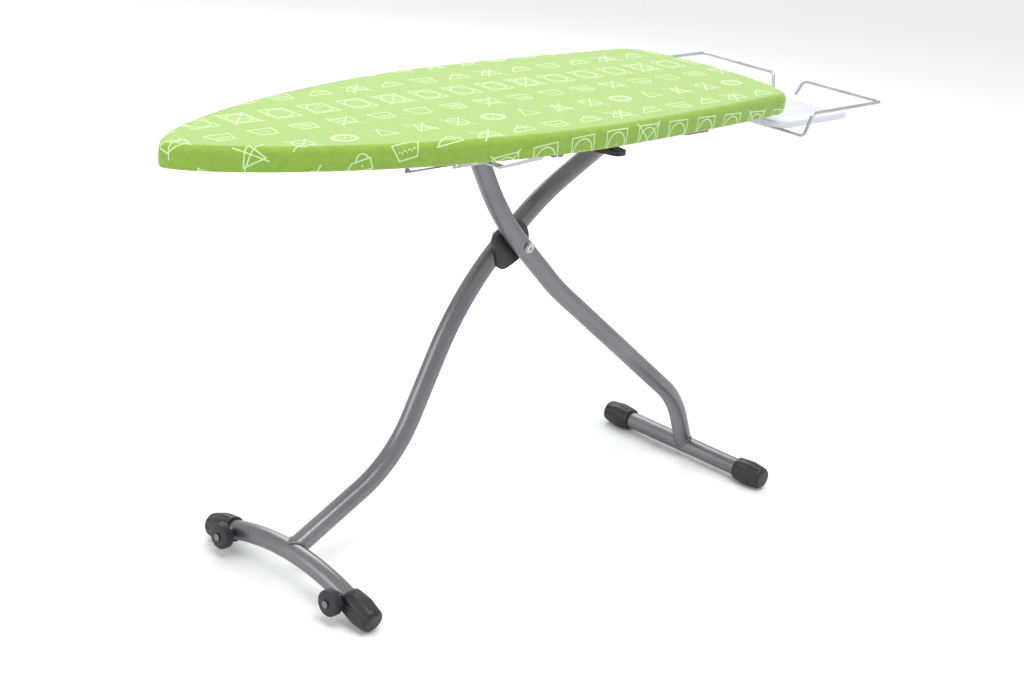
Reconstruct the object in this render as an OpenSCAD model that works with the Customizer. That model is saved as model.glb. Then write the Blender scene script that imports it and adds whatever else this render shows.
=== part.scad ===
// Folding ironing board with a crossed pair of curved tube legs, a padded cloth-covered
// top, a wire-framed iron rest and a release lever. Lengths run from the nose tip along +X.

/* [Board] */
// Length of the covered board, nose to tail
board_l = 1200; // [1100:10:1300]
// Width of the covered board at its widest
board_w = 410; // [380:5:440]
// Height of the covered top above the floor
top_h = 750; // [740:5:760]
// Height of the board's edge, cloth included
edge_h = 38; // [36:1:42]
// Distance from the nose to the widest place
widest_x = 700; // [650:10:740]
// Width of the board just before the tail corners
tail_w = 372; // [350:2:392]
// Length of the tail's rounded corners
tail_round = 76; // [60:2:120]

/* [Cover and pad] */
// Thickness of the cloth cover
cover_t = 1.5; // [1.2:0.1:2]
// Thickness of the foam pad on top
pad_t = 7; // [6:0.5:8]
// Thickness of the foam pad down the edge
pad_side_t = 5; // [4:0.5:6]
// Width of the cloth hem under the board
hem_w = 34; // [28:1:36]

/* [Tubes] */
// Outer diameter of the legs and feet
tube_d = 32; // [30:1:34]
// Wall of the legs and feet
tube_wall = 1.5; // [1.2:0.1:2]
// Gap between the two leg tubes where they cross
leg_gap = 5; // [4:0.5:7]
// Sideways place of the front leg
front_y = 12; // [10:1:14]

/* [Feet] */
// Distance from the nose to the front foot
front_foot_x = 288; // [280:1:296]
// Radius of the front foot's arch
arch_r = 450; // [420:10:600]
// Turn of each half of the front foot's arch
arch_turn = 15; // [12:1:16]
// Length of the front foot from tip to tip
front_foot_l = 406; // [390:2:420]
// Largest radius of the foot caps
cap_r = 23; // [22:0.5:25]
// Length of the foot caps
cap_l = 60; // [56:1:64]

/* [Front foot wheels] */
// Diameter of the wheels
wheel_d = 42; // [38:1:46]
// Thickness of the wheels
wheel_t = 16; // [14:1:18]
// Distance from the front foot's middle to each wheel
wheel_y = 132; // [126:1:136]
// Height of the wheel centres above the floor
wheel_z = 36; // [34:1:40]

/* [Iron rest] */
// How far the iron rest's wire reaches past the tail
rest_out = 221; // [200:1:230]
// Diameter of the rest's wire
wire_d = 6; // [5:0.5:7]
// Half width between the rest's side wires
rest_half_w = 203; // [195:1:207]
// Half width of the plastic tray
tray_half_w = 162; // [150:1:170]

/* [Hidden] */
$fn = 48;

total_l = board_l + rest_out;
wire_r = wire_d / 2;
tube_r = tube_d / 2;
fit_gap = 0.05;
body_gap = 0.3;
hairline = 0.01;

// Heights of the board's layers
plate_t = 1.5;
plate_top_z = top_h - cover_t - pad_t;
plate_z = plate_top_z - plate_t;
edge_z = top_h - edge_h;
rim_z = edge_z + 4;
rim_t = 10;
rim_inset = cover_t + pad_side_t + body_gap;
pad_skirt_h = 20;

// Joint axes under the board
axis_z = top_h - 62;
bar_r = 8;
slide_r = 6;
rear_y = front_y - tube_d - leg_gap;
bracket_z = rim_z - 2;

// Release lever and its shaft, which runs along X
shaft_y = -150;
shaft_z = 702;
shaft_r = 4;
lever_x = [700, 730];
shaft_x = [556, 754];

// Under-board members
brace_x = [300, 480, 610, 740, 1024];
brace_l = 36;
rail_y = [-62, 30];
rail_t = 2.5;
rail_x = [392, 600];
slide_x = [408, 582];
slide_play = 7;

// Leg bends as [length, turn]; the last straight of each runs to its own end height
front_heading = 26.8;
front_low = [[151, 0], [147, 38.9], [110, 0], [222, -26]];
front_up = [[46, 0], [110, -12.5]];
rear_heading_up = 137;
rear_up = [[150, -16]];
rear_heading_down = -43;
rear_low = [[110, 0], [50, 6], [395, 0], [100, -28]];

// Foot heights: the arched front foot rests on its cap ends, the rear foot on its caps
cap_tip_r = 20;
rear_foot_z = cap_r;
arch_half = arch_r * sin(arch_turn);
arch_drop = arch_r * (1 - cos(arch_turn));
front_end_l = (front_foot_l / 2 - arch_half - cap_tip_r * sin(arch_turn)) / cos(arch_turn);
front_foot_z = arch_drop + front_end_l * sin(arch_turn) + cap_tip_r * cos(arch_turn);
rear_foot_half = front_foot_l / 2 + front_y + rear_y;

// A tube path's state is [x, z, heading]; positive turns bend it upwards
function bend_r(seg) = seg[0] * 180 / (PI * seg[1]);
function next(s, seg) = seg[1] == 0
    ? [s[0] + seg[0] * cos(s[2]), s[1] + seg[0] * sin(s[2]), s[2]]
    : let (r = bend_r(seg), h = s[2] + seg[1])
      [s[0] + r * (sin(h) - sin(s[2])), s[1] - r * (cos(h) - cos(s[2])), h];
function walk(s, segs, n) = n == 0 ? s : next(walk(s, segs, n - 1), segs[n - 1]);
function end_of(s, segs) = walk(s, segs, len(segs));
function run_to(s, z) = [(z - s[1]) / sin(s[2]), 0];

front_start = [front_foot_x, front_foot_z, front_heading];
pivot = end_of(front_start, front_low);
front_up_all = concat(front_up, [run_to(end_of(pivot, front_up), axis_z)]);
front_top = end_of(pivot, front_up_all);
rear_start_up = [pivot[0], pivot[1], rear_heading_up];
rear_up_all = concat(rear_up, [run_to(end_of(rear_start_up, rear_up), axis_z)]);
rear_top = end_of(rear_start_up, rear_up_all);
rear_start_down = [pivot[0], pivot[1], rear_heading_down];
rear_low_all = concat(rear_low, [run_to(end_of(rear_start_down, rear_low), rear_foot_z)]);
rear_bottom = end_of(rear_start_down, rear_low_all);

// Half width of the board at x, for an outline drawn in by i
function nose_share(u) = pow(1 - pow(1 - u, 1.8), 0.714);
function corner_share(v) = sqrt(1 - pow(v, 3));
function half_w_full(x) = x < widest_x
    ? board_w / 2 * nose_share(x / widest_x)
    : let (t = min(1, (x - widest_x) / (board_l - tail_round - widest_x)),
           v = max(0, (x - board_l + tail_round) / tail_round))
      (board_w / 2 - (board_w - tail_w) / 2 * t * t) * corner_share(min(1, v));
function half_w(x, i) = (1 - 2 * i / board_w) * half_w_full((x - i) * board_l / (board_l - 2 * i));
nose_steps = 22;
tail_steps = 16;
function outline_x(i) = concat(
    [for (k = [0:nose_steps]) widest_x * (1 - cos(90 * k / nose_steps))],
    [for (k = [1:3]) widest_x + (board_l - tail_round - widest_x) * k / 3],
    [for (k = [1:tail_steps]) board_l - tail_round + tail_round * sin(90 * k / tail_steps)]);
function inset_x(x, i) = i + x * (board_l - 2 * i) / board_l;
function side(i, s) = [for (x = outline_x(i)) [inset_x(x, i), s * half_w(inset_x(x, i), i)]];
function reversed(v) = [for (k = [len(v) - 2:-1:1]) v[k]];
function board_outline(i) = concat(side(i, -1), reversed(side(i, 1)));

module from_nose() {
    translate([-total_l / 2, 0, 0])
        children();
}

module slab(i, z0, z1) {
    translate([0, 0, z0])
        linear_extrude(z1 - z0)
            polygon(board_outline(i));
}

// One straight or bent length of round bar in the XZ plane; lengths meet with a hairline gap
module bar_length(s, seg, r) {
    if (seg[1] == 0) {
        translate([s[0], 0, s[1]])
            rotate([0, 90 - s[2], 0])
                translate([0, 0, hairline / 2])
                    cylinder(h = seg[0] - hairline, r = r);
    } else {
        b = bend_r(seg);
        first = b > 0 ? s[2] - 90 : s[2] + 90 + seg[1];
        translate([s[0] - b * sin(s[2]), 0, s[1] + b * cos(s[2])])
            rotate([90, 0, 0])
                rotate([0, 0, first + hairline / 2])
                    rotate_extrude(angle = abs(seg[1]) - hairline, $fn = 180)
                        translate([abs(b), 0])
                            circle(r = r);
    }
}

module bar_path(s, segs, r) {
    for (k = [0:len(segs) - 1])
        bar_length(walk(s, segs, k), segs[k], r);
}

module tube_path(s, segs) {
    for (k = [0:len(segs) - 1])
        difference() {
            bar_length(walk(s, segs, k), segs[k], tube_r);
            bar_length(walk(s, segs, k), segs[k], tube_r - tube_wall);
        }
}

module rod(p, q, r) {
    d = q - p;
    l = norm(d);
    translate(p)
        rotate([0, acos(d[2] / l), atan2(d[1], d[0])])
            cylinder(h = l, r = r);
}

function unit(v) = v / norm(v);
function turn_at(a, b, c) = acos(unit(b - a) * unit(c - b));
function trim_at(a, b, c, bend) = bend * tan(turn_at(a, b, c) / 2);

// The bend of a wire at b, between the straights from a and to c
module elbow(a, b, c, bend, r) {
    u = unit(b - a);
    n = unit(cross(u, unit(c - b)));
    w = cross(n, u);
    centre = b - trim_at(a, b, c, bend) * u + bend * w;
    multmatrix([
        [-w[0], u[0], n[0], centre[0]],
        [-w[1], u[1], n[1], centre[1]],
        [-w[2], u[2], n[2], centre[2]],
        [0, 0, 0, 1]])
        rotate_extrude(angle = turn_at(a, b, c), $fn = 120)
            translate([bend, 0])
                circle(r = r);
}

// A bent wire through the points p: straights and elbows that meet with a hairline gap
module wire_path(p, bend, r) {
    last = len(p) - 1;
    for (k = [0:last - 1]) {
        u = unit(p[k + 1] - p[k]);
        t0 = k == 0 ? 0 : trim_at(p[k - 1], p[k], p[k + 1], bend) + hairline;
        t1 = k == last - 1 ? 0 : trim_at(p[k], p[k + 1], p[k + 2], bend) + hairline;
        rod(p[k] + t0 * u, p[k + 1] - t1 * u, r);
    }
    for (k = [1:last - 1])
        elbow(p[k - 1], p[k], p[k + 1], bend, r);
}

module y_rod(x, z, y0, y1, r) {
    translate([x, y1, z])
        rotate([90, 0, 0])
            cylinder(h = y1 - y0, r = r);
}

module x_rod(y, z, x0, x1, r) {
    translate([x0, y, z])
        rotate([0, 90, 0])
            cylinder(h = x1 - x0, r = r);
}

// ---- board ----

module top_plate() {
    pitch_x = 56;
    pitch_y = 48;
    hole_r = 9;
    margin = 34;
    color("lightgrey") from_nose() difference() {
        slab(rim_inset + 1, plate_z, plate_top_z);
        for (c = [1:20], r = [-4:4]) {
            x = c * pitch_x;
            y = (r + (c % 2) / 2) * pitch_y;
            if (abs(y) < half_w(x, 0) - margin)
                translate([x, y, plate_z - 1])
                    cylinder(h = plate_t + 2, r = hole_r);
        }
    }
}

module rim_frame() {
    color("silver") from_nose() difference() {
        slab(rim_inset, rim_z, plate_z);
        slab(rim_inset + rim_t, rim_z - 1, plate_z + 1);
    }
}

module cross_braces() {
    wall = 2;
    color("silver") from_nose() for (x = brace_x) {
        w = min(half_w(x - brace_l / 2, rim_inset + rim_t), half_w(x + brace_l / 2, rim_inset + rim_t)) - 1;
        difference() {
            translate([x - brace_l / 2, -w, rim_z])
                cube([brace_l, 2 * w, plate_z - rim_z]);
            translate([x - brace_l / 2 + wall, -w - 1, rim_z + wall])
                cube([brace_l - 2 * wall, 2 * w + 2, plate_z - rim_z]);
        }
    }
}

module slide_rail(y, flange_side) {
    flange_w = 20;
    slot_r = slide_r + slide_play;
    drop = 15;
    color("silver") from_nose() difference() {
        union() {
            translate([rail_x[0], y, axis_z - drop])
                cube([rail_x[1] - rail_x[0], rail_t, rim_z - axis_z + drop]);
            translate([rail_x[0], flange_side > 0 ? y : y + rail_t - flange_w, bracket_z])
                cube([rail_x[1] - rail_x[0], flange_w, rim_z - bracket_z]);
        }
        for (x = slide_x)
            y_rod(x, axis_z, y - 1, y + rail_t + 1, slot_r);
        translate([slide_x[0], y - 1, axis_z - slot_r])
            cube([slide_x[1] - slide_x[0], rail_t + 2, 2 * slot_r]);
    }
}

module rail_near() slide_rail(rail_y[0], 1);

module rail_far() slide_rail(rail_y[1], 1);

ear_y = [front_y - 44, front_y + 44];
ear_t = 3;

module hinge_bracket() {
    base_l = 64;
    color("silver") from_nose() difference() {
        union() {
            translate([front_top[0] - base_l / 2, ear_y[0] - ear_t, bracket_z])
                cube([base_l, ear_y[1] - ear_y[0] + 2 * ear_t, rim_z - bracket_z]);
            for (y = [ear_y[0] - ear_t, ear_y[1]]) {
                y_rod(front_top[0], axis_z, y, y + ear_t, bar_r + 9);
                translate([front_top[0] - bar_r - 9, y, axis_z])
                    cube([2 * bar_r + 18, ear_t, rim_z - axis_z]);
            }
        }
        y_rod(front_top[0], axis_z, ear_y[0] - ear_t - 1, ear_y[1] + ear_t + 1, bar_r + fit_gap);
    }
}

module foam_pad() {
    color("beige") from_nose() difference() {
        slab(cover_t, plate_top_z - pad_skirt_h, plate_top_z + pad_t);
        slab(cover_t + pad_side_t, plate_top_z - pad_skirt_h - 1, plate_top_z);
    }
}

module cloth_cover() {
    color("yellowgreen") from_nose() difference() {
        slab(0, edge_z, top_h);
        slab(cover_t, edge_z + cover_t, top_h - cover_t);
        slab(hem_w, edge_z - 1, edge_z + cover_t + 1);
    }
}

module hem_elastic() {
    color("white") from_nose() difference() {
        slab(hem_w + 0.1, edge_z - 1, edge_z + 2.5);
        slab(hem_w + 4, edge_z - 2, edge_z + 3);
    }
}

// ---- iron rest ----

rest_z = edge_z + 2;
rest_end_x = total_l - wire_r;
rest_back_x = board_l + 7;
rest_low_z = rest_z - 40;
rest_low_x = rest_back_x - 10;
stem_y = 82;
tray_top_z = 690;
tray_h = 12;
tray_wall = 2.5;
tray_step = 2;
tray_x = [board_l - 20, total_l - 21];
tray_bottom_z = tray_top_z - tray_h;

// Half of the rest's hoop, from the middle of its end bar to the middle of its low bar; the
// end bar dips under the tray's far border
dip_z = tray_bottom_z - wire_r - 0.5;
dip_x = [tray_x[1] - 12, tray_x[1] + 8];
dip_y = [9, 22, 35];

function rest_half_path(s) = [
    [dip_x[0], 0, dip_z],
    [dip_x[0], s * dip_y[0], dip_z],
    [dip_x[1], s * dip_y[1], dip_z],
    [rest_end_x, s * dip_y[2], rest_z],
    [rest_end_x, s * rest_half_w, rest_z],
    [rest_back_x, s * rest_half_w, rest_z],
    [rest_low_x, s * (rest_half_w - 4), rest_low_z],
    [rest_low_x, 0, rest_low_z]];

module rest_wire() {
    bend = 8;
    color("silver") from_nose() {
        for (s = [-1, 1])
            wire_path(rest_half_path(s), bend, wire_r);
        for (y = [-stem_y, stem_y])
            x_rod(y, rest_low_z, brace_x[4] + 40, rest_low_x - wire_r, wire_r);
    }
}

module rounded_plate(x, hw, r, z0, z1) {
    translate([0, 0, z0]) {
        translate([x[0] + r, -hw, 0])
            cube([x[1] - x[0] - 2 * r, 2 * hw, z1 - z0]);
        translate([x[0], r - hw, 0])
            cube([x[1] - x[0], 2 * (hw - r), z1 - z0]);
        for (cx = [x[0] + r, x[1] - r], y = [r - hw, hw - r])
            translate([cx, y, 0])
                cylinder(h = z1 - z0, r = r);
    }
}

module rest_tray() {
    rim = 22;
    corner = 34;
    inner_x = [tray_x[0] + tray_wall, tray_x[1] - tray_wall];
    recess_x = [tray_x[0] + rim, tray_x[1] - rim];
    color("lavender") from_nose() difference() {
        rounded_plate(tray_x, tray_half_w, corner, tray_bottom_z, tray_top_z);
        rounded_plate(inner_x, tray_half_w - tray_wall, corner - tray_wall,
            tray_bottom_z - 1, tray_top_z - tray_step - tray_wall);
        rounded_plate(recess_x, tray_half_w - rim, corner - 12, tray_top_z - tray_step, tray_top_z + 1);
    }
}

module rest_clips() {
    wall = 2;
    clip_x = brace_x[4] - 14;
    clip_l = 60;
    clip_w = 18;
    clip_bottom = rest_low_z - wire_r - wall;
    color("silver") from_nose() for (y = [-stem_y, stem_y]) difference() {
        translate([clip_x, y - clip_w / 2, clip_bottom])
            cube([clip_l, clip_w, rim_z - clip_bottom]);
        translate([clip_x + wall, y - clip_w / 2 - 1, rest_low_z + wire_r + wall])
            cube([clip_l, clip_w + 2, bracket_z - rest_low_z - wire_r - wall]);
        x_rod(y, rest_low_z, brace_x[4] + 40, brace_x[4] + 60, wire_r);
    }
}

// ---- release lever ----

module shaft_brackets() {
    ear = 3;
    reach = 8;
    color("silver") from_nose() for (x = [brace_x[2], brace_x[3]]) difference() {
        union() {
            translate([x - 8, shaft_y - reach, bracket_z])
                cube([16, 2 * reach, rim_z - bracket_z]);
            translate([x - ear / 2, shaft_y - reach, shaft_z])
                cube([ear, 2 * reach, rim_z - shaft_z]);
            x_rod(shaft_y, shaft_z, x - ear / 2, x + ear / 2, reach);
        }
        x_rod(shaft_y, shaft_z, x - ear, x + ear, shaft_r + fit_gap);
    }
}

module lock_spring() {
    coil_r = 6.4;
    wire_r = 0.8;
    turns = 9;
    pitch = 1.5 * wire_r;
    anchor_t = 1.6;
    anchor_r = 9;
    color("dimgray") from_nose()
        translate([brace_x[2] + 4, shaft_y, shaft_z]) {
            rotate([0, 90, 0])
                rotate_extrude($fn = 60) {
                    for (k = [0:turns - 1])
                        translate([coil_r, k * pitch])
                            circle(r = wire_r, $fn = 16);
                    translate([coil_r, (turns - 1) * pitch])
                        square([anchor_r - coil_r, anchor_t]);
                }
            translate([(turns - 1) * pitch + 0.2, -2, anchor_r - 2])
                cube([anchor_t - 0.4, 4, bracket_z - shaft_z - anchor_r + 3]);
        }
}

module release_lever() {
    grip_y = -198;
    color("#1b1b1d") from_nose() difference() {
        union() {
            translate([lever_x[0], shaft_y - 12, shaft_z - 8])
                cube([lever_x[1] - lever_x[0], 20, 14]);
            hull() {
                for (x = [lever_x[0] + 12, lever_x[1] - 12])
                    translate([x, grip_y + 12, shaft_z - 6])
                        cylinder(h = 7, r = 12, $fn = 32);
                translate([lever_x[0], shaft_y - 12, shaft_z - 8])
                    cube([lever_x[1] - lever_x[0], 4, 11]);
            }
        }
        x_rod(shaft_y, shaft_z, lever_x[0] - 1, lever_x[1] + 1, shaft_r);
    }
}

module lock_shaft() {
    color("silver") from_nose() x_rod(shaft_y, shaft_z, shaft_x[0], shaft_x[1], shaft_r);
}

comb_y = -52;
comb_x = [500, 582];
comb_top_z = axis_z - slide_r - slide_play - 1.5;

// The comb's strap runs flat below the near rail, then rises to the shaft
module lock_comb() {
    comb_t = 3;
    comb_h = 10;
    tooth = 7;
    strap_x = comb_x[1] - 16;
    strap_y = -84;
    comb_z = comb_top_z - comb_h;
    color("silver") from_nose() difference() {
        union() {
            translate([comb_x[0], comb_y, comb_z])
                cube([comb_x[1] - comb_x[0], comb_t, comb_h]);
            translate([strap_x, strap_y, comb_z])
                cube([16, comb_y - strap_y + 1, comb_t]);
            hull() {
                translate([strap_x, strap_y, comb_z])
                    cube([16, comb_t, comb_t]);
                translate([strap_x, shaft_y - 2, shaft_z - 8])
                    cube([16, 4, 4]);
            }
            x_rod(shaft_y, shaft_z, strap_x, strap_x + 16, shaft_r + 4);
        }
        x_rod(shaft_y, shaft_z, strap_x - 1, strap_x + 17, shaft_r);
        for (k = [0:2])
            y_rod(comb_x[0] + 10 + 28 * k, comb_top_z, comb_y - 1, comb_y + comb_t + 1, tooth);
    }
}

module bracket_rivets() {
    head_r = 4;
    head_h = 1.6;
    places = concat(
        [for (x = [brace_x[1], 594], y = [rail_y[0] + 11, rail_y[1] + 11]) [x, y]],
        [for (y = [-14, 38]) [front_top[0], y]]);
    color("gray") from_nose() for (p = places)
        translate([p[0], p[1], bracket_z - head_h])
            cylinder(h = head_h, r = head_r);
}

// ---- front leg ----

module front_leg_tube() {
    color("silver") from_nose() difference() {
        translate([0, front_y, 0]) {
            tube_path(front_start, front_low);
            tube_path(pivot, front_up_all);
        }
        y_rod(front_top[0], axis_z, ear_y[0], ear_y[1], bar_r);
        y_rod(pivot[0], pivot[1], front_y - 30, front_y + 30, bolt_r);
        y_rod(front_foot_x, front_foot_z, front_y - 40, front_y + 40, tube_r + body_gap);
    }
}

module front_top_bar() {
    over = 7;
    color("silver") from_nose()
        y_rod(front_top[0], axis_z, ear_y[0] - ear_t - over, ear_y[1] + ear_t + over, bar_r);
}

module front_bar_caps() {
    color("#1b1b1d") from_nose() for (y = [ear_y[0] - ear_t - 7 - 2, ear_y[1] + ear_t + 1]) difference() {
        y_rod(front_top[0], axis_z, y, y + 8, bar_r + 3);
        y_rod(front_top[0], axis_z, ear_y[0] - ear_t - 7, ear_y[1] + ear_t + 7, bar_r);
    }
}

module foot_crown(r) {
    translate([front_foot_x, front_y, front_foot_z - arch_r])
        rotate([90, 0, 90])
            rotate([0, 0, 90 - arch_turn])
                rotate_extrude(angle = 2 * arch_turn, $fn = 180)
                    translate([arch_r, 0])
                        circle(r = r);
}

// The arched foot bar: a crown arc with a straight at each end
module front_foot_solid(r) {
    inside_l = front_end_l - 6;
    foot_crown(r);
    for (s = [0, 180])
        translate([front_foot_x, front_y, 0])
            rotate([0, 0, s])
                translate([0, arch_half, front_foot_z - arch_drop])
                    rotate([-90 - arch_turn, 0, 0])
                        cylinder(h = inside_l, r = r);
}

module front_foot_tube() {
    color("silver") from_nose() difference() {
        front_foot_solid(tube_r);
        front_foot_solid(tube_r - tube_wall);
    }
}

// A closed, slightly barrelled end cap; its mouth is at 0 and it points along +Z
module foot_cap(depth) {
    mouth_r = 20.5;
    nose_r = 6;
    difference() {
        rotate_extrude($fn = 72)
            polygon(concat(
                [[0, 0], [mouth_r, 0]],
                [for (k = [1:6]) [mouth_r + (cap_r - mouth_r) * sin(90 * k / 6), k * 5]],
                [for (k = [0:4]) [cap_tip_r - nose_r + nose_r * cos(90 * k / 4), cap_l - nose_r + nose_r * sin(90 * k / 4)]],
                [[0, cap_l]]));
        translate([0, 0, -1])
            cylinder(h = depth + 1, r = tube_r);
    }
}

module front_cap(s) {
    color("#1b1b1d") from_nose()
        translate([front_foot_x, front_y, 0])
            rotate([0, 0, s])
                translate([0, arch_half, front_foot_z - arch_drop])
                    rotate([-90 - arch_turn, 0, 0])
                        translate([0, 0, front_end_l - cap_l])
                            foot_cap(cap_l - 6);
}

module front_cap_near() front_cap(180);

module front_cap_far() front_cap(0);

// Wheels on the nose side of the front foot
wheel_ys = [front_y - wheel_y, front_y + wheel_y];
wheel_off = 8.5;
wheel_back_x = front_foot_x - tube_r - wheel_off;
axle_r = 3;

module wheel_brackets() {
    color("silver") from_nose() difference() {
        for (y = wheel_ys)
            translate([wheel_back_x, y - 4.5, wheel_z - 9])
                cube([tube_r + wheel_off, 9, 18]);
        front_foot_solid(tube_r);
        for (y = wheel_ys)
            x_rod(y, wheel_z, wheel_back_x - 1, wheel_back_x + 9, axle_r);
    }
}

module wheel_axles() {
    head_r = 6;
    color("gray") from_nose() for (y = wheel_ys) {
        x_rod(y, wheel_z, wheel_back_x - wheel_t - 1, wheel_back_x + 9 - 4, axle_r);
        x_rod(y, wheel_z, wheel_back_x - wheel_t - 3, wheel_back_x - wheel_t - 1, head_r);
    }
}

module wheel(y) {
    crown = 3;
    r = wheel_d / 2;
    color("#1b1b1d") from_nose()
        translate([wheel_back_x - 0.5, y, wheel_z])
            rotate([0, -90, 0])
                rotate_extrude($fn = 72)
                    polygon(concat(
                        [[axle_r + fit_gap, 0], [r - 1, 0], [r, 1]],
                        [for (k = [0:5]) [r - crown + crown * cos(90 * k / 5), wheel_t - 2 * crown + crown * sin(90 * k / 5)]],
                        [[r - 3 * crown, wheel_t], [axle_r + fit_gap, wheel_t]]));
}

module wheel_near() wheel(wheel_ys[0]);

module wheel_far() wheel(wheel_ys[1]);

// ---- pivot ----

bolt_r = 4;
bush_r = 7;

// The hub's round plate, or the corner lobe that points to the nose and down
module hub_solid(lobe) {
    hub_r = 36;
    lobe_l = 32;
    lobe_inset = 0.6;
    y0 = front_y - tube_r - leg_gap + body_gap;
    y1 = front_y - 2;
    if (lobe)
        translate([pivot[0], 0, pivot[1]])
            rotate([0, 180 - front_heading, 0])
                translate([-lobe_l, y0 + lobe_inset, -lobe_l])
                    cube([lobe_l, y1 - y0 - 2 * lobe_inset, lobe_l]);
    else
        y_rod(pivot[0], pivot[1], y0, y1, hub_r);
}

module pivot_hub() {
    saddle_gap = 1.5;
    saddle_l = 216;
    color("#1b1b1d") from_nose() for (lobe = [false, true]) difference() {
        hub_solid(lobe);
        translate([pivot[0], front_y, pivot[1]])
            rotate([0, 90 - pivot[2], 0])
                cylinder(h = saddle_l, r = tube_r + saddle_gap, center = true);
        y_rod(pivot[0], pivot[1], -60, 60, bolt_r);
    }
}

module pivot_bolt() {
    head_r = 7;
    head_h = 4;
    hex_r = 3.2;
    y0 = rear_y - tube_r - 1;
    color("gray") from_nose() difference() {
        union() {
            y_rod(pivot[0], pivot[1], y0, front_y + tube_r + 9, bolt_r);
            y_rod(pivot[0], pivot[1], y0 - head_h, y0, head_r);
        }
        translate([pivot[0], y0 - head_h + 2.5, pivot[1]])
            rotate([90, 0, 0])
                cylinder(h = 3, r = hex_r, $fn = 6);
    }
}

module pivot_nut() {
    y0 = front_y + tube_r;
    color("gray") from_nose() difference() {
        translate([pivot[0], y0 + 8, pivot[1]])
            rotate([90, 0, 0])
                cylinder(h = 7, r = 7.5, $fn = 6);
        y_rod(pivot[0], pivot[1], y0, y0 + 10, bolt_r);
    }
}

// ---- rear leg ----

module rear_leg_tube() {
    color("silver") from_nose() difference() {
        translate([0, rear_y, 0]) {
            tube_path(rear_start_up, rear_up_all);
            tube_path(rear_start_down, rear_low_all);
        }
        y_rod(rear_top[0], axis_z, rear_y - 80, rear_y + 80, slide_r);
        y_rod(pivot[0], pivot[1], rear_y - 30, rear_y + 30, bush_r);
        y_rod(rear_bottom[0], rear_foot_z, rear_y - rear_foot_half, rear_y + rear_foot_half, tube_r);
    }
}

module pivot_bush() {
    color("#1b1b1d") from_nose() difference() {
        y_rod(pivot[0], pivot[1], rear_y - tube_r - 0.5, rear_y + tube_r, bush_r);
        y_rod(pivot[0], pivot[1], rear_y - 30, rear_y + 30, bolt_r + fit_gap);
    }
}

slide_bar_half = 60;

module slide_bar() {
    color("silver") from_nose()
        y_rod(rear_top[0], axis_z, rear_y - slide_bar_half, rear_y + slide_bar_half, slide_r);
}

module slide_rollers() {
    roller_r = 11;
    color("#1b1b1d") from_nose() for (y = [rail_y[0] + rail_t + 1, rail_y[1] - 5]) difference() {
        y_rod(rear_top[0], axis_z, y, y + 4, roller_r);
        y_rod(rear_top[0], axis_z, y - 1, y + 5, slide_r);
    }
}

module rear_foot_tube() {
    inside_l = rear_foot_half - 6;
    color("silver") from_nose() difference() {
        y_rod(rear_bottom[0], rear_foot_z, rear_y - inside_l, rear_y + inside_l, tube_r);
        y_rod(rear_bottom[0], rear_foot_z, rear_y - inside_l - 1, rear_y + inside_l + 1, tube_r - tube_wall);
    }
}

module rear_cap(s) {
    color("#1b1b1d") from_nose()
        translate([rear_bottom[0], rear_y, rear_foot_z])
            rotate([0, 0, s])
                translate([0, rear_foot_half - cap_l, 0])
                    rotate([-90, 0, 0])
                        foot_cap(cap_l - 6);
}

module rear_cap_near() rear_cap(180);

module rear_cap_far() rear_cap(0);

top_plate();
rim_frame();
cross_braces();
rail_near();
rail_far();
hinge_bracket();
foam_pad();
cloth_cover();
hem_elastic();
rest_wire();
rest_tray();
rest_clips();
shaft_brackets();
lock_spring();
bracket_rivets();
release_lever();
lock_shaft();
lock_comb();
front_leg_tube();
front_top_bar();
front_bar_caps();
front_foot_tube();
front_cap_near();
front_cap_far();
wheel_brackets();
wheel_axles();
wheel_near();
wheel_far();
pivot_hub();
pivot_bolt();
pivot_nut();
rear_leg_tube();
pivot_bush();
slide_bar();
slide_rollers();
rear_foot_tube();
rear_cap_near();
rear_cap_far();
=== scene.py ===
import math

import bmesh
import bpy
from mathutils import Matrix, Vector, noise


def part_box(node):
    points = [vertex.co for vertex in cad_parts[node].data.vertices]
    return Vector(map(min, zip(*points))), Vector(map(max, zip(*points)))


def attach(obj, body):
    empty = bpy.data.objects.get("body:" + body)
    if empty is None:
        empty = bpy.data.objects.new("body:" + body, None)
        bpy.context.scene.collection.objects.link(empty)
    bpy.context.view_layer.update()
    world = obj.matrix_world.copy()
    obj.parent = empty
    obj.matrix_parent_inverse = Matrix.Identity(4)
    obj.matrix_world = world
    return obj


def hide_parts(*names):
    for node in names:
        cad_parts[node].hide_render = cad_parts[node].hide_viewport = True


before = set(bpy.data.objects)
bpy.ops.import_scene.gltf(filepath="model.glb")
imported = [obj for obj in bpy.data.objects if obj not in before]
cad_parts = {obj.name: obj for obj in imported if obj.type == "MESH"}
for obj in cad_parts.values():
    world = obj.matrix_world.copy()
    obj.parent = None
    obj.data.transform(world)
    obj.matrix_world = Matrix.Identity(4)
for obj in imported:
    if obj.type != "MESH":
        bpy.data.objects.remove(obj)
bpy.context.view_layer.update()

# Ironing board: metres, Z up, nose towards -X, the iron rest at +X
alongX = Vector((1, 0, 0))
alongY = Vector((0, 1, 0))
alongZ = Vector((0, 0, 1))


# Small helpers

def middle(node):
    low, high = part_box(node)
    return (low + high) / 2


def only(piece):
    bpy.ops.object.select_all(action="DESELECT")
    piece.select_set(True)
    bpy.context.view_layer.objects.active = piece


def named(name):
    piece = bpy.context.object
    piece.name = name
    piece.data.name = name
    return piece


def editing(piece, kind="VERT"):
    only(piece)
    bpy.ops.object.mode_set(mode="EDIT")
    bpy.ops.mesh.select_mode(type=kind)


def doneEditing():
    bpy.ops.object.mode_set(mode="OBJECT")


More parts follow.
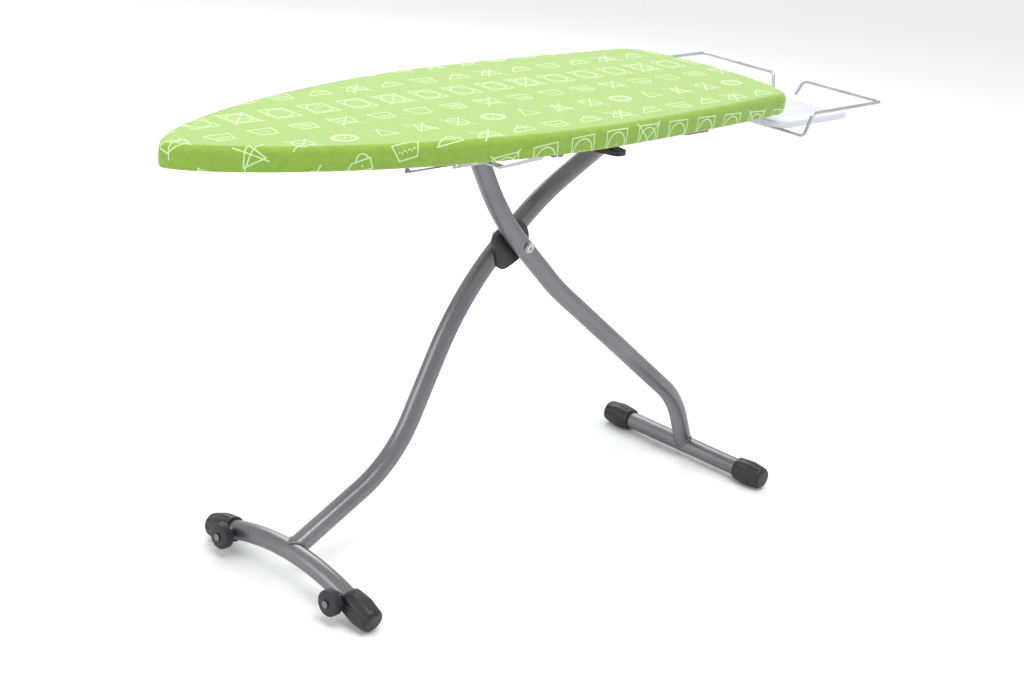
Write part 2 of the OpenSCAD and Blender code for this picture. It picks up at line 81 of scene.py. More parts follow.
def pick(piece, kind, test):
    # In edit mode: selects the vertices or faces that pass the test
    bpy.ops.mesh.select_mode(type=kind)
    bpy.ops.mesh.select_all(action="DESELECT")
    mesh = bmesh.from_edit_mesh(piece.data)
    for part in (mesh.verts if kind == "VERT" else mesh.faces):
        if test(part):
            part.select_set(True)
    mesh.select_flush(True)
    bmesh.update_edit_mesh(piece.data)


def applyPlace(piece):
    only(piece)
    bpy.ops.object.transform_apply(location=True, rotation=True, scale=True)


def applyModifier(piece, kind, **settings):
    only(piece)
    modifier = piece.modifiers.new(kind.lower(), kind)
    for key, value in settings.items():
        setattr(modifier, key, value)
    bpy.ops.object.modifier_apply(modifier=modifier.name)


def outwards(piece, gap=1e-5):
    editing(piece)
    bpy.ops.mesh.select_all(action="SELECT")
    bpy.ops.mesh.remove_doubles(threshold=gap)
    bpy.ops.mesh.normals_make_consistent(inside=False)
    doneEditing()


def smooth(piece, angle=40):
    only(piece)
    bpy.ops.object.shade_smooth_by_angle(angle=math.radians(angle))


def finished(piece, body, material, nodes=()):
    piece.data.materials.clear()
    piece.data.materials.append(material)
    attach(piece, body)
    if nodes:
        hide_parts(*nodes)
    return piece


def copied(piece, name, place):
    # A copy with its own mesh, put in place through its mesh
    only(piece)
    bpy.ops.object.duplicate(linked=False)
    other = named(name)
    other.matrix_world = place
    applyPlace(other)
    return other


def facing(place, direction, turn=0.0):
    # The matrix that puts +Z along direction, with its origin at place
    turned = Vector(direction).to_track_quat("Z", "Y").to_matrix().to_4x4()
    return Matrix.Translation(place) @ turned @ Matrix.Rotation(math.radians(turn), 4, "Z")


def ringAt(name, place, direction, radius, count=48):
    bpy.ops.object.select_all(action="DESELECT")
    bpy.ops.mesh.primitive_circle_add(vertices=count, radius=radius)
    ring = named(name)
    ring.matrix_world = facing(place, direction)
    applyPlace(ring)
    return ring


def runOn(start, way, up, bends, step=0.006):
    # In edit mode: carries the selected ring along straights and bends, each (length, turn)
    place, way, up = Vector(start), Vector(way), Vector(up)
    for length, turn in bends:
        if turn == 0:
            pieces = max(1, round(length / 0.04))
            for _ in range(pieces):
                bpy.ops.mesh.extrude_region_move(
                    TRANSFORM_OT_translate={"value": way * length / pieces})
            place = place + way * length
        else:
            angle = math.radians(turn)
            centre = place + up * (length / angle)
            axis = way.cross(up)
            bpy.ops.mesh.spin(steps=max(4, round(length / step)), angle=-angle,
                              center=centre, axis=axis)
            spun = Matrix.Rotation(angle, 3, axis)
            place = centre + spun @ (place - centre)
            way, up = spun @ way, spun @ up
    return place, way, up


def closeEnd(wall=0.0015, depth=0.03):
    # In edit mode: turns the selected end ring into the mouth of a tube
    bpy.ops.mesh.edge_face_add()
    bpy.ops.mesh.select_mode(type="FACE")
    bpy.ops.mesh.inset(thickness=wall)
    bpy.ops.mesh.extrude_region_shrink_fatten(
        TRANSFORM_OT_shrink_fatten={"value": -depth})
    bpy.ops.mesh.select_mode(type="VERT")


def lathe(name, profile, count=48):
    # Rings along +Z from (radius, height) pairs, closed over at both ends
    ring = ringAt(name, (0, 0, profile[0][1]), alongZ, profile[0][0], count)
    editing(ring)
    bpy.ops.mesh.select_all(action="SELECT")
    bpy.ops.mesh.edge_face_add()
    for (r0, z0), (r1, z1) in zip(profile, profile[1:]):
        bpy.ops.mesh.extrude_region_move(TRANSFORM_OT_translate={"value": (0, 0, z1 - z0)})
        bpy.ops.transform.resize(value=(r1 / r0, r1 / r0, 1), center_override=(0, 0, z1))
    doneEditing()
    outwards(ring)
    return ring


def wireThrough(name, corners, bend, radius, segments=6, sides=5):
    # A round wire through corner points: a chain of edges, its corners rounded, given thickness
    bpy.ops.object.select_all(action="DESELECT")
    bpy.ops.mesh.primitive_plane_add(size=0.001)
    wire = named(name)
    editing(wire)
    bpy.ops.mesh.select_all(action="SELECT")
    bpy.ops.mesh.merge(type="CENTER")
    bpy.ops.transform.translate(value=corners[0])
    for a, b in zip(corners, corners[1:]):
        bpy.ops.mesh.extrude_region_move(
            TRANSFORM_OT_translate={"value": Vector(b) - Vector(a)})
    bpy.ops.mesh.select_all(action="SELECT")
    bpy.ops.mesh.bevel(offset=bend, segments=segments, affect="VERTICES", offset_type="OFFSET")
    doneEditing()
    only(wire)
    bpy.ops.object.convert(target="CURVE")
    wire = bpy.context.object
    wire.data.bevel_depth = radius
    wire.data.bevel_resolution = sides
    wire.data.use_fill_caps = True
    bpy.ops.object.convert(target="MESH")
    wire = named(name)
    outwards(wire)
    smooth(wire, 50)
    return wire


# Materials

def nodesOf(name):
    material = bpy.data.materials.new(name)
    material.use_nodes = True
    tree = material.node_tree
    shader = tree.nodes["Principled BSDF"]
    return material, tree, shader


def makeSum(tree):
    # Short way to write arithmetic with Math nodes
    def calc(kind, a, b=0.0, c=0.0):
        node = tree.nodes.new("ShaderNodeMath")
        node.operation = kind
        for socket, value in zip(node.inputs, (a, b, c)):
            if isinstance(value, (int, float)):
                socket.default_value = value
            else:
                tree.links.new(value, socket)
        return node.outputs[0]
    return calc


def objectPlace(tree, scale=(1, 1, 1)):
    coordinate = tree.nodes.new("ShaderNodeTexCoord")
    mapping = tree.nodes.new("ShaderNodeMapping")
    mapping.inputs["Scale"].default_value = scale
    tree.links.new(coordinate.outputs["Object"], mapping.inputs["Vector"])
    return mapping.outputs["Vector"]


def noiseAt(tree, vector, scale, detail=3.0, rough=0.5):
    node = tree.nodes.new("ShaderNodeTexNoise")
    node.inputs["Scale"].default_value = scale
    node.inputs["Detail"].default_value = detail
    node.inputs["Roughness"].default_value = rough
    tree.links.new(vector, node.inputs["Vector"])
    return node.outputs["Fac"]


def ramped(tree, value, stops):
    node = tree.nodes.new("ShaderNodeValToRGB")
    ramp = node.color_ramp
    while len(ramp.elements) < len(stops):
        ramp.elements.new(0.5)
    for element, (place, colour) in zip(ramp.elements, stops):
        element.position = place
        element.color = (*colour, 1)
    tree.links.new(value, node.inputs["Fac"])
    return node.outputs["Color"]


def rangeOf(tree, value, low, high, start=0.0, end=1.0):
    node = tree.nodes.new("ShaderNodeMapRange")
    for key, number in (("From Min", start), ("From Max", end), ("To Min", low), ("To Max", high)):
        node.inputs[key].default_value = number
    tree.links.new(value, node.inputs["Value"])
    return node.outputs["Result"]


def bumped(tree, shader, height, strength, distance):
    node = tree.nodes.new("ShaderNodeBump")
    node.inputs["Strength"].default_value = strength
    node.inputs["Distance"].default_value = distance
    tree.links.new(height, node.inputs["Height"])
    tree.links.new(node.outputs["Normal"], shader.inputs["Normal"])


def finish(name, dark, light, rough, metal=0.0, patch=9.0, grain=900.0, bump=0.12,
           stretch=(1, 1, 1), depth=0.0004, coat=0.0):
    # Patchy colour, a grain that breaks up the gloss, and a fine bump
    material, tree, shader = nodesOf(name)
    place = objectPlace(tree, stretch)
    patches = noiseAt(tree, place, patch, 4.0)
    fine = noiseAt(tree, place, grain, 2.0)
    colour = ramped(tree, patches, [(0.3, dark), (0.7, light)])
    tree.links.new(colour, shader.inputs["Base Color"])
    tree.links.new(rangeOf(tree, fine, rough[0], rough[1], 0.3, 0.7), shader.inputs["Roughness"])
    shader.inputs["Metallic"].default_value = metal
    shader.inputs["Coat Weight"].default_value = coat
    bumped(tree, shader, fine, bump, depth)
    return material


paintLook = {
    "dark": (0.150, 0.150, 0.163), "light": (0.205, 0.205, 0.220), "rough": (0.27, 0.38),
    "metal": 0.75, "patch": 7.0, "grain": 1400.0, "bump": 0.10}
silverPaint = finish("silverPaint", **paintLook)
zincWire = finish("zincWire", (0.40, 0.41, 0.43), (0.55, 0.56, 0.58), (0.22, 0.36), 1.0,
                  14.0, 700.0, 0.08)
bareSteel = finish("bareSteel", (0.30, 0.30, 0.31), (0.42, 0.42, 0.43), (0.32, 0.5), 0.9,
                   6.0, 500.0, 0.12, stretch=(1, 6, 1))
springSteel = finish("springSteel", (0.16, 0.16, 0.17), (0.26, 0.26, 0.27), (0.25, 0.4), 1.0,
                     30.0, 900.0, 0.06)
screwZinc = finish("screwZinc", (0.45, 0.45, 0.47), (0.62, 0.62, 0.64), (0.2, 0.34), 1.0,
                   60.0, 1800.0, 0.10)
blackPlastic = finish("blackPlastic", (0.0055, 0.0055, 0.007), (0.011, 0.011, 0.013),
                      (0.36, 0.5), 0.0, 22.0, 1600.0, 0.16)
wheelPlastic = finish("wheelPlastic", (0.010, 0.010, 0.013), (0.017, 0.017, 0.020),
                      (0.5, 0.66), 0.0, 30.0, 1300.0, 0.2)
trayPlastic = finish("trayPlastic", (0.56, 0.58, 0.66), (0.66, 0.68, 0.75), (0.34, 0.46), 0.15,
                     5.0, 1100.0, 0.08)
padFoam = finish("padFoam", (0.62, 0.60, 0.52), (0.74, 0.72, 0.64), (0.85, 0.95), 0.0,
                 40.0, 420.0, 0.6, depth=0.001)
elasticBand = finish("elasticBand", (0.70, 0.70, 0.66), (0.84, 0.84, 0.80), (0.75, 0.9), 0.0,
                     60.0, 1500.0, 0.5)


# The printed cover cloth

printLook = {
    "cell": 72.9,  # mm between marks along the board
    "row": 71.5,  # mm between rows of marks across it
    "firstRow": 56.0,  # mm, where the row of squares lies
    "starts": (248.0, 172.6, 162.6, 236.0),  # mm from the nose: squares, triangles, tubs, irons
    "line": 0.85,  # half the width of a drawn line, mm
    "soft": 0.5,
    "ink": (0.60, 0.76, 0.48)}


def printedLines(tree, cut):
    # Line drawings of wash-care marks in rows: 1 on a line, 0 off it. cut is the flat cloth, in mm
    calc = makeSum(tree)
    split = tree.nodes.new("ShaderNodeSeparateXYZ")
    tree.links.new(cut, split.inputs["Vector"])
    along, across = split.outputs["X"], split.outputs["Y"]

    def lowest(*values):
        result = values[0]
        for value in values[1:]:
            result = calc("MINIMUM", result, value)
        return result

    def highest(*values):
        result = values[0]
        for value in values[1:]:
            result = calc("MAXIMUM", result, value)
        return result

    def plus(a, b):
        return calc("ADD", a, b)

    def times(a, b):
        return calc("MULTIPLY", a, b)

    def size(a):
        return calc("ABSOLUTE", a)

    def far(a, b):
        return calc("SQRT", plus(times(a, a), times(b, b)))

    def unless(value, which, wanted):
        # The value where which is wanted, and out of reach elsewhere
        same = calc("COMPARE", which, float(wanted), 0.5)
        return plus(value, times(calc("SUBTRACT", 1.0, same), 99.0))

    look = printLook
    rowAt = calc("DIVIDE", plus(across, -look["firstRow"]), look["row"])
    rowIndex = calc("FLOOR", plus(rowAt, 0.5))
    q = times(calc("SUBTRACT", rowAt, rowIndex), look["row"])
    kind = calc("FLOORED_MODULO", rowIndex, 4.0)  # 0 squares, 1 irons, 2 triangles, 3 tubs
    starts = look["starts"]
    start = 0.0
    for number, value in ((0, starts[0]), (1, starts[3]), (2, starts[1]), (3, starts[2])):
        start = plus(start, times(calc("COMPARE", kind, float(number), 0.5), value))
    columnAt = calc("DIVIDE", calc("SUBTRACT", along, start), look["cell"])
    columnIndex = calc("FLOOR", plus(columnAt, 0.5))
    p = times(calc("SUBTRACT", columnAt, columnIndex), look["cell"])
    variant = calc("FLOORED_MODULO", columnIndex, 4.0)

    ax, ay = size(p), size(q)
    radius = far(p, q)

    def ringOf(r):
        return size(plus(radius, -r))

    def cross(reach):
        return highest(times(size(calc("SUBTRACT", ax, ay)), 0.707), plus(highest(ax, ay), -reach))

    def spot(x, y, r):
        return highest(plus(far(plus(p, -x), plus(q, -y)), -r), 0.0)

    # Squares with a ring inside: plain, two dots, one dot, crossed out
    squareEdge = size(plus(highest(ax, ay), -22.5))
    squares = lowest(squareEdge, ringOf(18.5),
                     unless(lowest(spot(-4, 0, 0.4), spot(4, 0, 0.4)), variant, 1),
                     unless(spot(0, 0, 0.4), variant, 2), unless(cross(26.0), variant, 3))

    # Tubs with bars or dots inside
    tubEdge = size(highest(plus(calc("SUBTRACT", ax, times(q, 0.28)), -17.5), plus(ay, -12.5)))
    bars = highest(lowest(size(plus(q, -4.0)), size(plus(q, 3.0))), plus(ax, -11.0))
    tubs = lowest(tubEdge, unless(bars, variant, 1), unless(cross(19.0), variant, 2),
                  unless(lowest(spot(-6, 0, 0.4), spot(0, 0, 0.4), spot(6, 0, 0.4)), variant, 0),
                  unless(highest(size(plus(q, 3.0)), plus(ax, -11.0)), variant, 3))

    # Rings, double ovals, triangles and crossed triangles
    leaning = calc("DIVIDE", plus(times(ax, 32.0), times(plus(q, -17.0), 18.0)), 36.7)
    triangle = size(highest(leaning, calc("SUBTRACT", -13.0, q)))
    oval = far(times(p, 0.72), q)
    wave = highest(size(calc("SUBTRACT", q, times(calc("SINE", times(p, 0.55)), 3.0))),
                   plus(ax, -11.0))
    marks = lowest(unless(lowest(ringOf(16.5), cross(19.0)), variant, 0),
                   unless(lowest(size(plus(oval, -15.0)), size(plus(oval, -12.2)), wave),
                          variant, 1),
                   unless(triangle, variant, 2),
                   unless(lowest(triangle, cross(19.0)), variant, 3))

    # Irons: a sole with a sloping front and a handle; and a wash bowl with a hand's bumps
    sole = size(highest(calc("SUBTRACT", -9.0, q), plus(p, -18.0), plus(q, -7.0),
                        calc("DIVIDE", calc("SUBTRACT", times(calc("SUBTRACT", q, p), 1.0), 17.0),
                             1.414)))
    handle = highest(size(plus(far(plus(p, -6.0), plus(q, -7.0)), -9.0)), calc("SUBTRACT", 7.0, q))
    iron = lowest(sole, handle)
    bumps = plus(times(size(calc("SINE", times(p, 0.42))), 5.0), -4.0)
    hand = highest(size(calc("SUBTRACT", q, bumps)), plus(ax, -13.0))
    irons = lowest(unless(lowest(iron, spot(4, -1, 0.5)), variant, 0),
                   unless(lowest(tubEdge, hand), variant, 1),
                   unless(lowest(iron, spot(1, -1, 0.5), spot(8, -1, 0.5)), variant, 2),
                   unless(lowest(iron, cross(20.0)), variant, 3))

    nearest = lowest(unless(squares, kind, 0), unless(irons, kind, 1),
                     unless(marks, kind, 2), unless(tubs, kind, 3))
    return rangeOf(tree, nearest, 1.0, 0.0, look["line"] - look["soft"], look["line"] + look["soft"])


clothLook = {
    "deep": (0.195, 0.335, 0.036), "bright": (0.250, 0.410, 0.052),
    "thread": 1.1,  # threads to a millimetre
    "sheenTint": (0.95, 1.0, 0.90, 1), "sheen": 0.5, "sheenRough": 0.40}


def coverCloth():
    material, tree, shader = nodesOf("greenCloth")
    calc = makeSum(tree)
    uv = tree.nodes.new("ShaderNodeUVMap")
    uv.uv_map = "flatCut"
    inMm = tree.nodes.new("ShaderNodeMapping")
    inMm.inputs["Scale"].default_value = (cutScale * 1000,) * 3
    inMm.inputs["Location"].default_value = (0, -cutScale * 500, 0)
    tree.links.new(uv.outputs["UV"], inMm.inputs["Vector"])
    cut = inMm.outputs["Vector"]
    split = tree.nodes.new("ShaderNodeSeparateXYZ")
    tree.links.new(cut, split.inputs["Vector"])
    turn = clothLook["thread"] * math.pi
    warp = calc("ABSOLUTE", calc("SINE", calc("MULTIPLY", split.outputs["X"], turn)))
    weft = calc("ABSOLUTE", calc("SINE", calc("MULTIPLY", split.outputs["Y"], turn)))
    weave = calc("MAXIMUM", warp, weft)
    slub = noiseAt(tree, cut, 0.09, 4.0, 0.6)
    fibre = noiseAt(tree, cut, 1.7, 2.0)
    shade = calc("ADD", calc("MULTIPLY", slub, 0.65), calc("MULTIPLY", fibre, 0.35))
    cloth = ramped(tree, shade, [(0.32, clothLook["deep"]), (0.68, clothLook["bright"])])
    printed = printedLines(tree, cut)
    worn = calc("MULTIPLY", printed, rangeOf(tree, fibre, 0.72, 1.0, 0.25, 0.6))
    mix = tree.nodes.new("ShaderNodeMix")
    mix.data_type = "RGBA"
    tree.links.new(worn, mix.inputs["Factor"])
    tree.links.new(cloth, mix.inputs["A"])
    mix.inputs["B"].default_value = (*printLook["ink"], 1)
    tree.links.new(mix.outputs["Result"], shader.inputs["Base Color"])
    tree.links.new(rangeOf(tree, fibre, 0.78, 0.95, 0.3, 0.7), shader.inputs["Roughness"])
    shader.inputs["Sheen Weight"].default_value = clothLook["sheen"]
    shader.inputs["Sheen Roughness"].default_value = clothLook["sheenRough"]
    shader.inputs["Sheen Tint"].default_value = clothLook["sheenTint"]
    height = calc("ADD", calc("MULTIPLY", weave, 0.6), calc("MULTIPLY", fibre, 0.8))
    bumped(tree, shader, height, 0.28, 0.0004)
    return material


print("materials made")


# Board outline

boardLow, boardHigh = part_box("cloth_cover")
board = {
    "nose": boardLow.x, "length": boardHigh.x - boardLow.x, "width": boardHigh.y - boardLow.y,
    "top": boardHigh.z, "bottom": boardLow.z,
    "widest": 0.700, "tailRound": 0.076, "tailWidth": 0.372}
cutScale = 1.6  # metres of flat cloth across the cover's whole UV map


def halfWidth(x):
    # Half the board's width x metres from the nose tip
    half = board["width"] / 2
    if x < board["widest"]:
        return half * (1 - (1 - max(0.0, x) / board["widest"]) ** 1.8) ** 0.714
    tail = board["length"] - board["tailRound"]
    t = min(1.0, (x - board["widest"]) / (tail - board["widest"]))
    v = min(1.0, max(0.0, (x - tail) / board["tailRound"]))
    return (half - (board["width"] - board["tailWidth"]) / 2 * t * t) * math.sqrt(1 - v ** 3)


def outlineStations(count):
    # Evenly spaced (x, y) round the whole outline, from the nose tip along -Y and back along +Y
    fine = 1600
    xs = [board["length"] * (1 - math.cos(math.pi * k / fine)) / 2 for k in range(fine + 1)]
    side = [(x, -halfWidth(x)) for x in xs]
    loop = side + [(x, -y) for x, y in reversed(side[1:-1])]
    loop.append(loop[0])
    lengths = [0.0]
    for (x0, y0), (x1, y1) in zip(loop, loop[1:]):
        lengths.append(lengths[-1] + math.hypot(x1 - x0, y1 - y0))
    result, at = [], 0
    for k in range(count):
        goal = lengths[-1] * k / count
        while lengths[at + 1] < goal:
            at += 1
        share = (goal - lengths[at]) / max(1e-9, lengths[at + 1] - lengths[at])
        (x0, y0), (x1, y1) = loop[at], loop[at + 1]
        result.append((x0 + (x1 - x0) * share, y0 + (y1 - y0) * share))
    return result


def insetPoint(x, y, inset):
    # The outline's point carried inwards, as the board's own layers are
    length, width = board["length"], board["width"]
    return inset + x * (length - 2 * inset) / length, y * (1 - 2 * inset / width)


def ringStack(name, loops):
    # A surface of rings, each a list of points round it, joined in order
    count = len(loops[0])
    bpy.ops.object.select_all(action="DESELECT")
    bpy.ops.mesh.primitive_circle_add(vertices=count, radius=0.1)
    stack = named(name)
    editing(stack)
    bpy.ops.mesh.select_all(action="SELECT")
    for _ in loops[1:]:
        bpy.ops.mesh.extrude_region_move(TRANSFORM_OT_translate={"value": (0, 0, 0.001)})
    doneEditing()
    for k, loop in enumerate(loops):
        for n, point in enumerate(loop):
            stack.data.vertices[k * count + n].co = point
    return stack


def ringedSheet(name, stations, rings, wave=None):
    # Rings round the board's outline: each is (inset, height), from the rim inwards
    loops = []
    for k, (inset, height) in enumerate(rings):
        loop = []
        for n, (x, y) in enumerate(stations):
            px, py = insetPoint(x, y, inset)
            point = Vector((board["nose"] + px, py, height))
            if wave:
                point = wave(point, k, n, inset, height, x, y)
            loop.append(point)
        loops.append(loop)
    return ringStack(name, loops)


def capOpenRings(piece):
    editing(piece, "EDGE")
    bpy.ops.mesh.select_all(action="DESELECT")
    bpy.ops.mesh.select_non_manifold()
    bpy.ops.mesh.edge_face_add()
    doneEditing()
    outwards(piece)


# Cover

coverShape = {
    "stations": 760,
    "hem": 0.032,  # how far the cloth turns in under the board
    "roundRadius": 0.011,
    "topRings": 15,
    "edgeSoft": 0.0006, "noseGathers": 0.0011, "hemGathers": 0.0016}


def coverRings():
    top, bottom = board["top"] - 0.0004, board["bottom"] + 0.0008
    shape = coverShape
    radius = shape["roundRadius"]
    rings = [(shape["hem"], bottom + 0.0012), (shape["hem"] - 0.007, bottom + 0.0004),
             (shape["hem"] - 0.014, bottom), (0.010, bottom - 0.0002), (0.0055, bottom + 0.0004),
             (0.0030, bottom + 0.0016), (0.0012, bottom + 0.0042), (0.0004, bottom + 0.009)]
    for k in range(1, 4):
        rings.append((0.0002, bottom + 0.009 + (top - radius - bottom - 0.009) * k / 4))
    for k in range(0, 7):
        angle = math.radians(15 * k)
        rings.append((radius * (1 - math.cos(angle)) + 0.0002,
                      top - radius + radius * math.sin(angle) - 0.0006 * (k == 6)))
    inner = radius + 0.008
    last = board["width"] / 2
    for k in range(shape["topRings"] + 1):
        share = k / shape["topRings"]
        rings.append((inner + (last - inner) * share, top - 0.0004 * (1 - share)))
    return rings


def coverWave(point, ring, station, inset, height, x, y):
    # Gathers: strong under the hem, a few at the nose, and a soft unevenness along the edge
    shape = coverShape
    along = station * 0.0038
    under = max(0.0, min(1.0, (inset - 0.004) / 0.02)) if ring < 6 else 0.0
    skirt = 1.0 - min(1.0, abs(height - board["bottom"] - 0.012) / 0.024)
    skirt = max(0.0, skirt) * (inset < 0.012)
    nose = math.exp(-(x / 0.055) ** 2)
    outward = Vector((x / board["length"] - 0.5, y * 2.2, 0)).normalized()
    gather = noise.noise(Vector((along * 260, ring * 0.05, 0.0)))
    ripple = noise.noise(Vector((along * 420, 7.0, ring * 0.04)))
    slow = noise.noise(Vector((point.x * 9, point.y * 9, 3.0)))
    point.z += shape["hemGathers"] * 0.5 * under * (gather - 0.2)
    push = shape["noseGathers"] * nose * skirt * ripple + shape["edgeSoft"] * skirt * slow
    point -= outward * (abs(push) + shape["hemGathers"] * under * abs(gather) * 0.4)
    if inset > 0.02 and ring > 6:
        point.z += 0.0003 * slow - 0.0003
    return point


def makeCover():
    shape = coverShape
    stations = outlineStations(shape["stations"])
    rings = coverRings()
    cover = ringedSheet("clothCover", stations, rings, coverWave)
    uv = cover.data.uv_layers.new(name="flatCut")
    count = len(stations)
    # The flat cut: the top as it lies, the side and the hem laid out beyond it
    firstTop = len(rings) - shape["topRings"] - 1
    spent = [0.0] * len(rings)
    for k in range(firstTop - 1, -1, -1):
        (i0, z0), (i1, z1) = rings[k + 1], rings[k]
        spent[k] = spent[k + 1] + math.hypot(i1 - i0, z1 - z0)
    edgeInset = rings[firstTop][0]
    places = []
    for k, (inset, _) in enumerate(rings):
        for n, (x, y) in enumerate(stations):
            if k >= firstTop:
                places.append(insetPoint(x, y, inset))
            else:
                (ax, ay), (bx, by) = stations[n - 1], stations[(n + 1) % count]
                out = Vector((by - ay, ax - bx)).normalized()
                ex, ey = insetPoint(x, y, edgeInset)
                places.append((ex + out.x * spent[k], ey + out.y * spent[k]))
    for loop in cover.data.loops:
        x, y = places[loop.vertex_index]
        uv.data[loop.index].uv = (x / cutScale, y / cutScale + 0.5)
    outwards(cover)
    smooth(cover, 60)
    return cover


cover = makeCover()
finished(cover, "board", coverCloth(), ["cloth_cover"])


# Foam pad

def makePad():
    low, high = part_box("foam_pad")
    edge = low.x - board["nose"]
    rings = [(edge + 0.006, low.z), (edge, low.z + 0.002), (edge, high.z - 0.006)]
    rings += [(edge + 0.0022, high.z - 0.0022), (edge + 0.008, high.z - 0.0004)]
    last = board["width"] / 2
    rings += [(edge + 0.008 + (last - edge - 0.008) * k / 8, high.z - 0.0003) for k in range(1, 9)]
    pad = ringedSheet("foamPad", outlineStations(240), rings)
    capOpenRings(pad)
    smooth(pad, 50)
    return finished(pad, "board", padFoam, ["foam_pad"])


pad = makePad()
print("cover and pad made")


# Legs

legShape = {
    "tube": 0.016,
    "frontHeading": 26.8,
    "frontLow": ((0.151, 0), (0.147, 38.9), (0.110, 0), (0.222, -26)),
    "frontUp": ((0.046, 0), (0.110, -12.5)),
    "rearUp": ((0.150, -16),),
    "rearUpHeading": 137.0,
    "rearLow": ((0.110, 0), (0.050, 6), (0.395, 0), (0.100, -28))}


def inPlane(heading):
    a = math.radians(heading)
    return Vector((math.cos(a), 0, math.sin(a))), Vector((-math.sin(a), 0, math.cos(a)))


def straightTo(place, way, height):
    return ((height - place.z) / way.z, 0)


def makeFrontLeg():
    foot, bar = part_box("front_foot_tube"), middle("front_top_bar")
    start = Vector((middle("front_foot_tube").x, bar.y, foot[1].z - legShape["tube"]))
    way, up = inPlane(legShape["frontHeading"])
    leg = ringAt("frontLegTube", start, way, legShape["tube"])
    editing(leg)
    bpy.ops.mesh.select_all(action="SELECT")
    place, way, up = runOn(start, way, up, legShape["frontLow"] + legShape["frontUp"])
    place, way, up = runOn(place, way, up, (straightTo(place, way, bar.z),))
    closeEnd()
    doneEditing()
    outwards(leg)
    smooth(leg)
    return finished(leg, "front_leg", silverPaint, ["front_leg_tube"])


def makeRearLeg():
    pivot, bar = middle("pivot_bolt"), middle("slide_bar")
    foot = middle("rear_foot_tube")
    start = Vector((pivot.x, foot.y, pivot.z))
    way, up = inPlane(legShape["rearUpHeading"])
    leg = ringAt("rearLegTube", start, way, legShape["tube"])
    editing(leg)
    bpy.ops.mesh.select_all(action="SELECT")
    first = [v.co.copy() for v in bmesh.from_edit_mesh(leg.data).verts]
    place, way, up = runOn(start, way, up, legShape["rearUp"])
    place, way, up = runOn(place, way, up, (straightTo(place, way, bar.z),))
    closeEnd()
    pick(leg, "VERT", lambda v: min((v.co - c).length for c in first) < 1e-6)
    way, up = inPlane(legShape["rearUpHeading"] - 180)
    place, way, up = runOn(start, way, up, legShape["rearLow"])
    runOn(place, way, up, (straightTo(place, way, foot.z),))
    bpy.ops.mesh.edge_face_add()
    doneEditing()
    outwards(leg)
    smooth(leg)
    return finished(leg, "rear_leg", silverPaint, ["rear_leg_tube"])


footShape = {"archRadius": 0.450, "archTurn": 15.0, "capLength": 0.060, "capMouth": 0.0205,
             "capBelly": 0.023, "capTip": 0.020}


def makeFoot(name, centre, bends, node, body):
    # From the middle out to each end
    foot = ringAt(name, centre, alongY, legShape["tube"])
    editing(foot)
    bpy.ops.mesh.select_all(action="SELECT")
    first = [v.co.copy() for v in bmesh.from_edit_mesh(foot.data).verts]
    ends = []
    for way in (-alongY, alongY):
        pick(foot, "VERT", lambda v: min((v.co - c).length for c in first) < 1e-6)
        ends.append(runOn(centre, way, alongZ, bends))
        closeEnd()
    doneEditing()
    outwards(foot)
    smooth(foot)
    finished(foot, body, silverPaint, [node])
    return ends


makeFrontLeg()
makeRearLeg()
arch = math.radians(footShape["archTurn"]) * footShape["archRadius"]
frontFootLow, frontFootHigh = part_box("front_foot_tube")
frontFootMiddle = Vector(((frontFootLow.x + frontFootHigh.x) / 2, middle("front_top_bar").y,
                          frontFootHigh.z - legShape["tube"]))
capLow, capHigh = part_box("front_cap_near")
archSide = footShape["archRadius"] * math.sin(math.radians(footShape["archTurn"]))
tipSide = frontFootMiddle.y - capLow.y - archSide
slant = math.radians(footShape["archTurn"])
endStraight = (tipSide - footShape["capTip"] * math.sin(slant)) / math.cos(slant)
frontEnds = makeFoot("frontFootTube", frontFootMiddle,
                     ((arch, -footShape["archTurn"]), (endStraight - 0.008, 0)),
                     "front_foot_tube", "front_leg")
rearFootMiddle = middle("rear_foot_tube")
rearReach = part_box("rear_foot_tube")[1].y - rearFootMiddle.y
rearEnds = makeFoot("rearFootTube", rearFootMiddle, ((rearReach, 0),),
                    "rear_foot_tube", "rear_leg")
print("legs and feet made")


# Weld beads

beadShape = {"points": 72, "thick": 0.0021, "off": 0.0002, "lift": 0.0012,
             "uneven": 0.0006, "rough": 0.0004, "grain": 700}


def makeBead(name, start, heading, body):
    # The saddle line where the leg meets its foot, rounded and a little uneven
    way, up = inPlane(heading)
    radius, shape = legShape["tube"], beadShape
    bpy.ops.object.select_all(action="DESELECT")
    bpy.ops.mesh.primitive_circle_add(vertices=shape["points"], radius=radius)
    bead = named(name)
    wide = radius + shape["off"]
    for k, vertex in enumerate(bead.data.vertices):
        t = 2 * math.pi * k / shape["points"]
        lift = (radius * abs(math.sin(t)) + shape["lift"]
                + shape["uneven"] * noise.noise(Vector((k * 0.7, 0, 0))))
        vertex.co = start + way * lift + up * wide * math.cos(t) + alongY * wide * math.sin(t)
    only(bead)
    bpy.ops.object.convert(target="CURVE")
    bpy.context.object.data.bevel_depth = shape["thick"]
    bpy.context.object.data.bevel_resolution = 3
    bpy.ops.object.convert(target="MESH")
    bead = named(name)
    for k, vertex in enumerate(bead.data.vertices):
        vertex.co += vertex.normal * shape["rough"] * noise.noise(vertex.co * shape["grain"])
    outwards(bead)
    smooth(bead, 60)
    return finished(bead, body, silverPaint)


makeBead("frontWeldBead", frontFootMiddle, legShape["frontHeading"], "front_leg")
rearEndHeading = legShape["rearUpHeading"] + sum(turn for _, turn in legShape["rearLow"])
makeBead("rearWeldBead", rearFootMiddle, rearEndHeading, "rear_leg")


# Foot caps

fluteShape = {"columns": 60, "every": 5, "depth": 0.0011}


